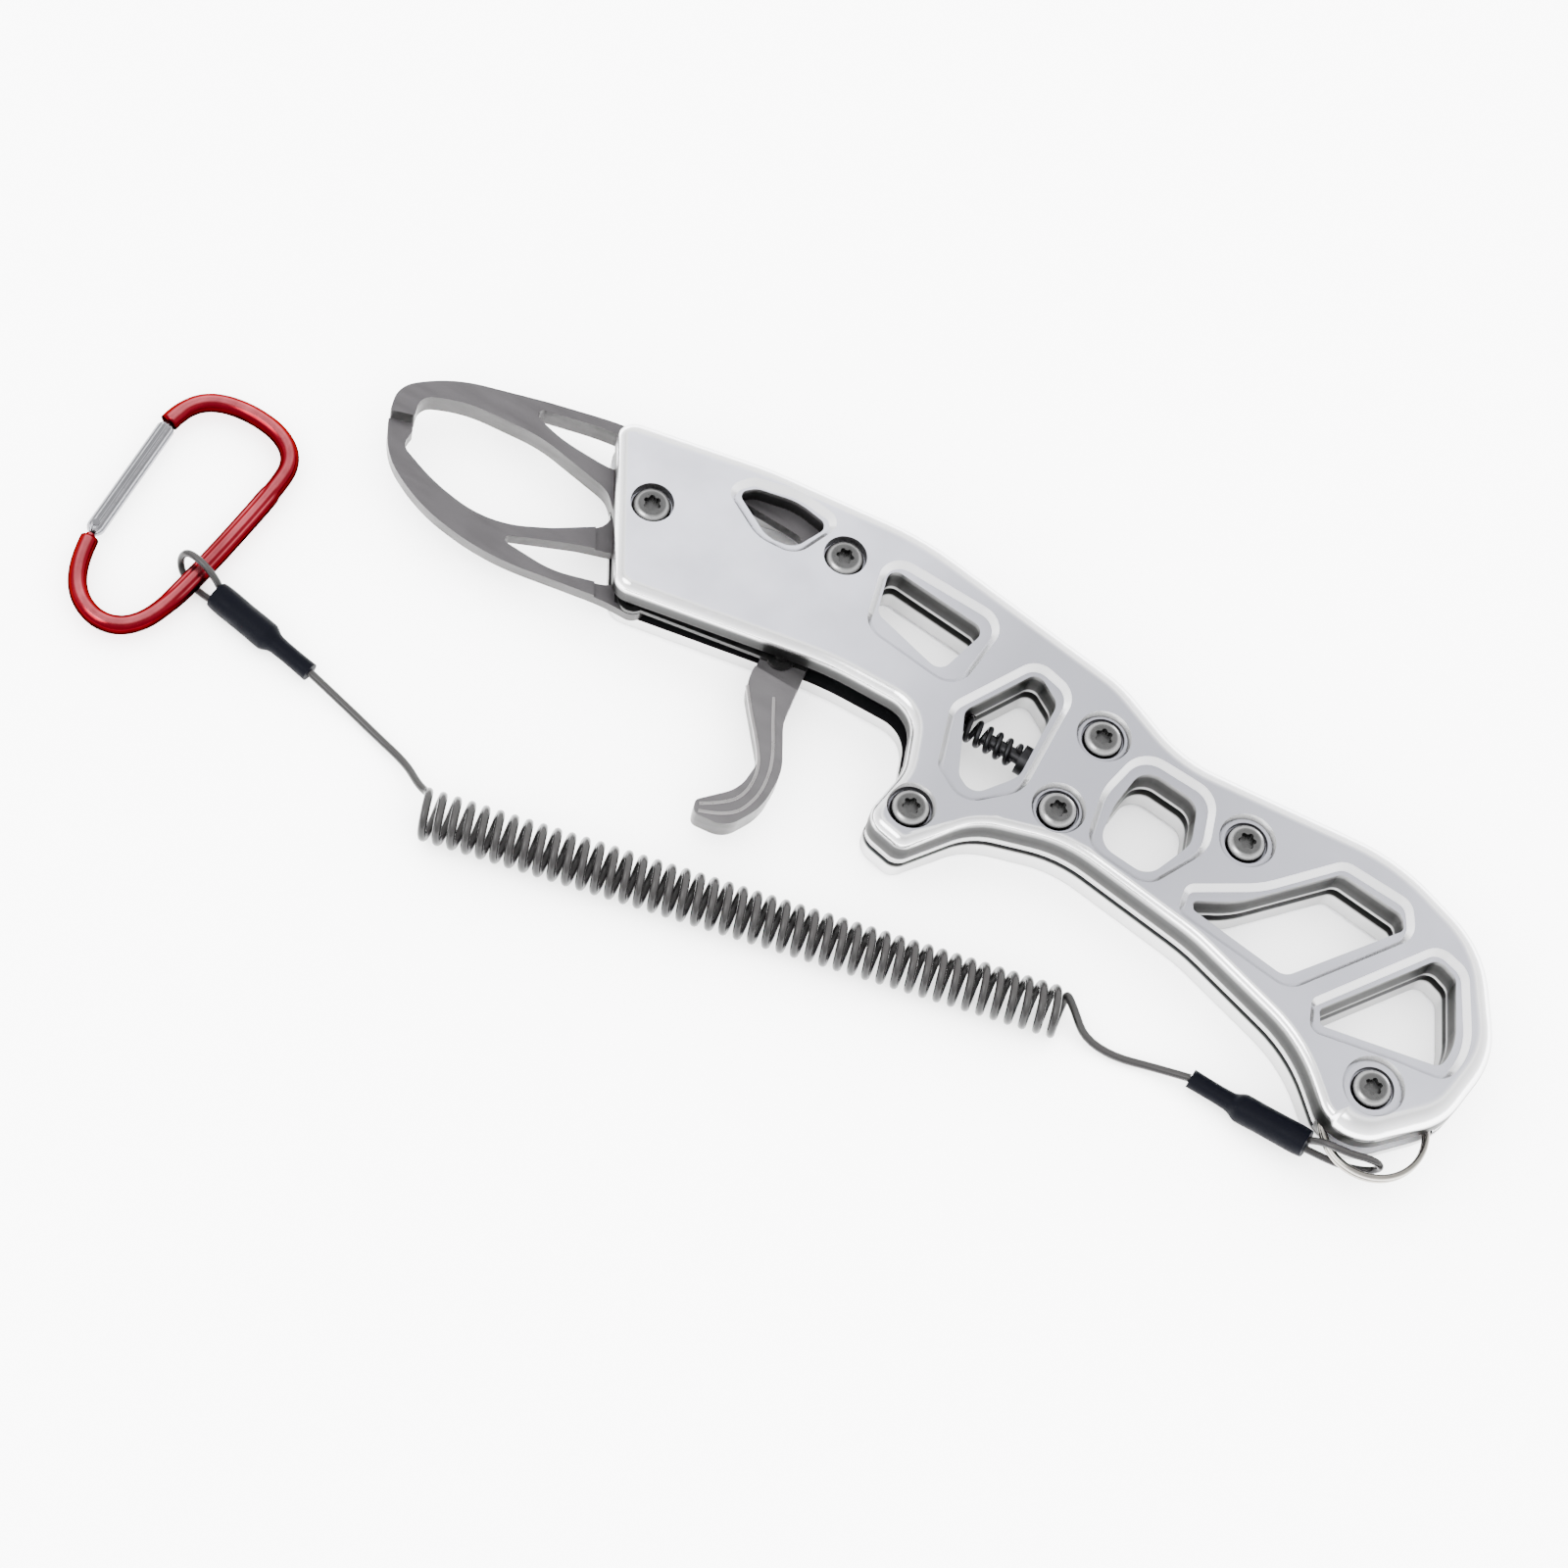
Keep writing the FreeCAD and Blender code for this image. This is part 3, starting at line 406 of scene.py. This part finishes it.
def break_edges(name):
    """Rounds a plate's cut edges a little, so that they catch the light."""
    bevel = nodes[name].modifiers.new("broken_edges", "BEVEL")
    bevel.width = EDGE_WIDTH * MM
    bevel.segments = 2
    bevel.limit_method = "ANGLE"
    bevel.use_clamp_overlap = False
    bevel.angle_limit = math.radians(EDGE_ANGLE)
    bevel.harden_normals = True


for name in ("upper_jaw", "lower_jaw", "trigger"):
    break_edges(name)


# ---------------------------------------------------------------- pieces made from lines


def new_curve(name, points, width, radii=None, steps=6, sides=6):
    """A round bar of that width along the smooth line that the points steer."""
    data = bpy.data.curves.new(name, "CURVE")
    data.dimensions = "3D"
    data.bevel_depth = width / 2 * MM
    data.bevel_resolution = sides
    data.resolution_u = steps
    data.use_fill_caps = True
    spline = data.splines.new("NURBS")
    spline.points.add(len(points) - 1)
    for i, point in enumerate(points):
        spline.points[i].co = (*spot(*point), 1.0)
        spline.points[i].radius = radii[i] if radii else 1.0
    spline.order_u = 3
    spline.use_endpoint_u = True
    thing = bpy.data.objects.new(name, data)
    scene.collection.objects.link(thing)
    return thing


def line_of(points, steps=8):
    """Points close together along the smooth line that the given points steer, in metres."""
    guide = new_curve("guide", points, 0.0, steps=steps)
    mesh = bpy.data.meshes.new_from_object(guide)
    line = [vertex.co.copy() for vertex in mesh.vertices]
    bpy.data.meshes.remove(mesh)
    bpy.data.objects.remove(guide)
    return line


def swept(name, line, section):
    """A closed skin round a line that lies flat. section(fraction) gives (side, rise) pairs round it."""
    lengths = [0.0]
    for before, here in zip(line, line[1:]):
        lengths.append(lengths[-1] + (here - before).length)
    vertices = []
    rings = []
    for i, here in enumerate(line):
        along = (line[min(i + 1, len(line) - 1)] - line[max(i - 1, 0)]).normalized()
        side = along.cross(Vector((0, 0, 1))).normalized()
        rise = side.cross(along)
        ring = []
        for across, up in section(lengths[i] / lengths[-1]):
            ring.append(len(vertices))
            vertices.append(here + (side * across + rise * up) * MM)
        rings.append(ring)
    faces = []
    for first, second in zip(rings, rings[1:]):
        for j, corner in enumerate(first):
            k = (j + 1) % len(first)
            faces.append((corner, first[k], second[k], second[j]))
    faces.append(tuple(reversed(rings[0])))
    faces.append(tuple(rings[-1]))
    mesh = bpy.data.meshes.new(name)
    mesh.from_pydata(vertices, [], faces)
    mesh.polygons.foreach_set("use_smooth", [True] * len(mesh.polygons))
    thing = bpy.data.objects.new(name, mesh)
    scene.collection.objects.link(thing)
    return thing


def place(thing, body, finish, slot, *replaced):
    """Puts a piece on its body, with its looks, and hides the nodes that it stands for. Its slot is not used.
    """
    paint(thing, finish)
    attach(thing, body)
    if replaced:
        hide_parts(*replaced)
    return thing


# ---------------------------------------------------------------- lanyard

COIL_START = (-70.7, -60.9)
COIL_END = (48.6, -30.1)
COIL_HEIGHT = 5.0
# The radius of the cord's centre line in the coil.
COIL_LINE = 4.2
COIL_TURNS = 45
TURN_POINTS = 16
CORD_WIDTH = 1.6
EYE_WIDTH = 1.4
FRONT_LEAD = [(-71.8, -56.7, 4.6), (-74.6, -55.6, 3.5), (-78.8, -52.6, 1.9), (-86.6, -50.4, 1.0),
              (-95.2, -48.4, 1.5), (-103.5, -47.0, 2.9)]
REAR_LEAD = [(47.5, -25.9, 4.6), (50.2, -27.6, 3.4), (54.0, -30.6, 1.9), (60.4, -30.6, 1.0),
             (67.6, -28.5, 1.5), (74.6, -27.2, 2.9)]
FRONT_SLEEVE = [(-103.5, -47.0, 2.9), (-112.5, -45.4, 2.9), (-126.6, -43.0, 2.9)]
REAR_SLEEVE = [(74.6, -27.2, 2.9), (83.6, -27.5, 3.3), (98.6, -28.6, 6.6)]
SLEEVE_RADII = [1.85, 1.75, 1.8, 1.95, 2.75, 2.85, 2.75, 2.9, 2.65]
FRONT_EYE = [(-126.6, -42.0, 4.3), (-128.6, -41.4, 7.0), (-134.6, -40.0, 7.0), (-136.4, -40.4, 3.6),
             (-134.8, -42.0, 0.85), (-129.8, -43.6, 0.8), (-126.8, -44.0, 1.8)]
REAR_EYE = [(98.6, -28.4, 8.0), (100.6, -28.3, 10.4), (105.6, -28.0, 10.8), (110.6, -26.2, 10.2),
            (112.6, -25.6, 7.6), (110.6, -26.4, 4.9), (105.2, -28.2, 4.6), (98.6, -28.9, 5.2)]


def coil_points():
    """The coil's turns from rear to front. The spline runs inside its points, so they stand out."""
    start = Vector((*COIL_START, COIL_HEIGHT))
    end = Vector((*COIL_END, COIL_HEIGHT))
    along = (end - start).normalized()
    side = Vector((0, 0, 1)).cross(along)
    radius = COIL_LINE / math.cos(math.pi / TURN_POINTS)
    count = COIL_TURNS * TURN_POINTS
    points = []
    for i in range(1, count):
        angle = 2 * math.pi * i / TURN_POINTS
        centre = end.lerp(start, i / count)
        around = side * math.cos(angle) - Vector((0, 0, 1)) * math.sin(angle)
        points.append(tuple(centre + around * radius))
    return points


def add_lanyard():
    """The cord from sleeve to sleeve, as one line: rear lead, coil and front lead."""
    line = list(reversed(REAR_LEAD)) + coil_points() + FRONT_LEAD
    cord = new_curve("lanyard_cord", line, CORD_WIDTH, steps=4, sides=3)
    place(cord, "grip", "cord", "cord_plastic", "lanyard_coil", "front_lead", "rear_lead")
    return cord


def add_sleeve(name, points, node):
    """A narrow part on the cord, then a step up to the wide part on the eye's two strands."""
    start, step, end = (Vector(point) for point in points)
    line = [start, start.lerp(step, 0.4), step.lerp(start, 0.15), step.lerp(start, 0.02),
            step.lerp(end, 0.08), step.lerp(end, 0.14), step.lerp(end, 0.5), step.lerp(end, 0.93), end]
    sleeve = new_curve(name, [tuple(point) for point in line], 2.0, SLEEVE_RADII, steps=10)
    return place(sleeve, "grip", "sleeve", "sleeve_plastic", node)


def add_eye(name, points, node):
    """A loop of cord whose two strands end in a sleeve."""
    eye = new_curve(name, points, EYE_WIDTH, steps=12)
    return place(eye, "grip", "cord", "cord_plastic", node)


RING_CENTRE = (107.8, -19.5)
RING_LINE = 9.9
RING_WIRE = 1.2
RING_START_ANGLE = 2.2
RING_TURN_POINTS = 24
RING_CLIMB_POINTS = 6


def add_split_ring():
    """Two turns of wire that lie on each other, with a crossing where one turn climbs to the other."""
    points = []
    for i in range(2 * RING_TURN_POINTS + 1):
        angle = 2 * math.pi * i / RING_TURN_POINTS + RING_START_ANGLE
        climb = min(max((i - RING_TURN_POINTS) / RING_CLIMB_POINTS + 0.5, 0.0), 1.0)
        points.append((RING_CENTRE[0] + RING_LINE * math.cos(angle),
                       RING_CENTRE[1] + RING_LINE * math.sin(angle),
                       MID_PLANE + RING_WIRE * (climb - 0.5)))
    ring = new_curve("tail_ring", points, RING_WIRE, steps=4)
    place(ring, "grip", "ring", "ring_steel", "split_ring")


# ---------------------------------------------------------------- carabiner

CLIP_FRAME = [(-152.3, -46.6), (-151.4, -51.5), (-147.8, -57.6), (-142.0, -60.2), (-136.6, -58.6),
              (-133.0, -52.5), (-131.2, -38.0), (-129.7, -18.0), (-130.2, -11.2), (-135.0, -7.4),
              (-142.7, -6.6), (-149.8, -8.4), (-153.6, -13.0), (-154.1, -17.3)]
CLIP_HEIGHT = 3.5
CLIP_RADIUS = 1.8
# Where the straight spine begins and ends along the frame's line, and where its nose does.
SPINE_START = (0.30, 0.36)
SPINE_END = (0.615, 0.625)
NOSE_START = (0.955, 0.975)
CLIP_GROOVE = 0.16
TONGUE = [(-152.2, -47.6), (-152.45, -46.5), (-152.55, -45.75)]
TONGUE_WIDTH = 1.8
GATE_HINGE = (-152.7, -43.8)
GATE_END = (-153.9, -17.9)
GATE_RADIUS = 1.8
GATE_LENGTH = math.dist(GATE_HINGE, GATE_END) + GATE_RADIUS
GATE_STATIONS = 90
FLUTES = 12
FLUTE_DEPTH = 0.24


def smooth_step(value, start, end):
    """0 up to start, 1 from end on, and a soft rise between them."""
    share = min(max((value - start) / (end - start), 0.0), 1.0)
    return share * share * (3 - 2 * share)


def clip_section(fraction):
    """Round wire at the bends. The spine is wider and flatter, with two shallow grooves on each face."""
    spine = smooth_step(fraction, *SPINE_START) * (1 - smooth_step(fraction, *SPINE_END))
    nose = smooth_step(fraction, *NOSE_START)
    across = CLIP_RADIUS + 0.25 * spine + 0.1 * nose
    up = CLIP_RADIUS - 0.1 * spine - 0.15 * nose
    outline = []
    count = 48
    for i in range(count):
        angle = 2 * math.pi * i / count
        groove = CLIP_GROOVE * spine * max(0.0, math.cos(6 * (angle - math.pi / 2) + math.pi)) ** 2
        outline.append(((across - groove) * math.cos(angle), (up - groove) * math.sin(angle)))
    return outline


def gate_section(fraction):
    """A bar with long flutes. Its foot is a ball about the hinge, and its far end is rounded off."""
    before_hinge = max(0.0, 1 - fraction * GATE_LENGTH / GATE_RADIUS)
    ball = max(0.3, math.sqrt(1 - before_hinge * before_hinge))
    scale = ball * (0.7 + 0.3 * smooth_step(1 - fraction, 0.0, 0.03))
    outline = []
    count = 60
    for i in range(count):
        angle = 2 * math.pi * i / count
        radius = scale * (GATE_RADIUS - FLUTE_DEPTH * (0.5 + 0.5 * math.cos(FLUTES * angle)))
        outline.append((radius * math.cos(angle), radius * math.sin(angle)))
    return outline


def add_carabiner():
    """The wire frame, the tongue that stands out of its end towards the hinge, and the gate."""
    line = line_of([(x, y, CLIP_HEIGHT) for x, y in CLIP_FRAME], steps=16)
    place(swept("carabiner", line, clip_section), "grip", "red", "clip_red", "carabiner_frame")
    tongue = new_curve("carabiner_tongue", [(x, y, CLIP_HEIGHT) for x, y in TONGUE], TONGUE_WIDTH)
    place(tongue, "grip", "red", "clip_red")

    hinge = Vector((*GATE_HINGE, CLIP_HEIGHT))
    end = Vector((*GATE_END, CLIP_HEIGHT))
    foot = hinge - (end - hinge).normalized() * GATE_RADIUS
    line = [spot(*foot.lerp(end, i / GATE_STATIONS)) for i in range(GATE_STATIONS + 1)]
    place(swept("gate", line, gate_section), "gate", "gate", "gate_aluminium", "carabiner_gate")


# ---------------------------------------------------------------- trigger's ribs and return spring

TRIGGER_RIBS = [
    [(-33.0, -7.0), (-30.6, -10.4), (-25.8, -16.0), (-22.6, -20.6), (-22.0, -26.2), (-24.0, -30.2),
     (-28.4, -33.2)],
    [(-27.6, -6.4), (-25.2, -11.0), (-22.0, -16.4), (-20.3, -21.0), (-19.9, -26.6), (-22.2, -32.4),
     (-27.8, -34.5)],
]
RIB_HEIGHT = 10.1
RIB_WIDTH = 0.8


def add_ribs():
    for i, rib in enumerate(TRIGGER_RIBS):
        thing = new_curve(f"trigger_rib_{i}", [(x, y, RIB_HEIGHT) for x, y in rib], RIB_WIDTH, steps=10)
        place(thing, "trigger", "rib", "trigger_steel")


def add_spring():
    """The return spring, a copy of the part's spring on the grip. Its rear end sits on the seat."""
    node = nodes["return_spring"]
    spring = bpy.data.objects.new("return_spring_wire", node.data.copy())
    scene.collection.objects.link(spring)
    spring.matrix_world = node.matrix_world.copy()
    place(spring, "grip", "spring", "spring_steel", "return_spring")
    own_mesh(spring)


add_spring()
lanyard = add_lanyard()
front_sleeve = add_sleeve("front_sleeve_wrap", FRONT_SLEEVE, "front_sleeve")
add_sleeve("rear_sleeve_wrap", REAR_SLEEVE, "rear_sleeve")
front_eye = add_eye("front_eye_loop", FRONT_EYE, "front_eye")
add_eye("rear_eye_loop", REAR_EYE, "rear_eye")
add_split_ring()
add_carabiner()
add_ribs()


# ---------------------------------------------------------------- floor and light


def add_floor():
    bpy.ops.mesh.primitive_plane_add(size=4.0)
    floor = bpy.context.object
    floor.name = "floor"
    finish = Finish("floor_white", (0.93, 0.93, 0.93), 0.0, 0.6)
    finish.rough(finish.noise(60.0), 0.55, 0.65)
    floor.data.materials.append(finish.material)


LAMP_SIDE = (-0.32, -0.5, 0.8)
# The lamp's rim, as cosines of the angle from its middle, from where it fades out to where it is full.
LAMP_RIM = (0.955, 0.975)
LAMP_LIGHT = 3.0
# The tent's light at heights from level to overhead.
TENT_BANDS = [(0.1, 1.0), (0.55, 0.62), (0.85, 0.36)]
SHINY_STRENGTH = 3.2
MATT_STRENGTH = 11.0


def add_world():
    """A light tent, brighter low down than overhead, with a round lamp. What isn't shiny is lit evenly."""
    world = bpy.data.worlds.new("studio")
    world.use_nodes = True
    tree = world.node_tree
    place = tree.nodes.new("ShaderNodeTexCoord")
    split = tree.nodes.new("ShaderNodeSeparateXYZ")
    tree.links.new(place.outputs["Generated"], split.inputs["Vector"])
    tent = tree.nodes.new("ShaderNodeValToRGB")
    stops = tent.color_ramp.elements
    stops.new(TENT_BANDS[1][0])
    for stop, (height, light) in zip(stops, TENT_BANDS):
        stop.position = height
        stop.color = (light, light, light, 1.0)
    tree.links.new(split.outputs["Z"], tent.inputs["Fac"])
    towards = tree.nodes.new("ShaderNodeVectorMath")
    towards.operation = "DOT_PRODUCT"
    towards.inputs[1].default_value = Vector(LAMP_SIDE).normalized()
    tree.links.new(place.outputs["Generated"], towards.inputs[0])
    lamp = tree.nodes.new("ShaderNodeMapRange")
    lamp.interpolation_type = "SMOOTHSTEP"
    lamp.inputs["From Min"].default_value = LAMP_RIM[0]
    lamp.inputs["From Max"].default_value = LAMP_RIM[1]
    lamp.inputs["To Max"].default_value = LAMP_LIGHT
    tree.links.new(towards.outputs["Value"], lamp.inputs["Value"])
    glow = tree.nodes.new("ShaderNodeVectorMath")
    glow.operation = "ADD"
    tree.links.new(tent.outputs["Color"], glow.inputs[0])
    tree.links.new(lamp.outputs["Result"], glow.inputs[1])
    shiny = tree.nodes["Background"]
    shiny.inputs["Strength"].default_value = SHINY_STRENGTH
    tree.links.new(glow.outputs["Vector"], shiny.inputs["Color"])
    matt = tree.nodes.new("ShaderNodeBackground")
    matt.inputs["Color"].default_value = (1.0, 1.0, 1.0, 1.0)
    matt.inputs["Strength"].default_value = MATT_STRENGTH
    path = tree.nodes.new("ShaderNodeLightPath")
    mix = tree.nodes.new("ShaderNodeMixShader")
    tree.links.new(path.outputs["Is Glossy Ray"], mix.inputs["Fac"])
    tree.links.new(matt.outputs["Background"], mix.inputs[1])
    tree.links.new(shiny.outputs["Background"], mix.inputs[2])
    tree.links.new(mix.outputs["Shader"], tree.nodes["World Output"].inputs["Surface"])
    scene.world = world


add_floor()
add_world()
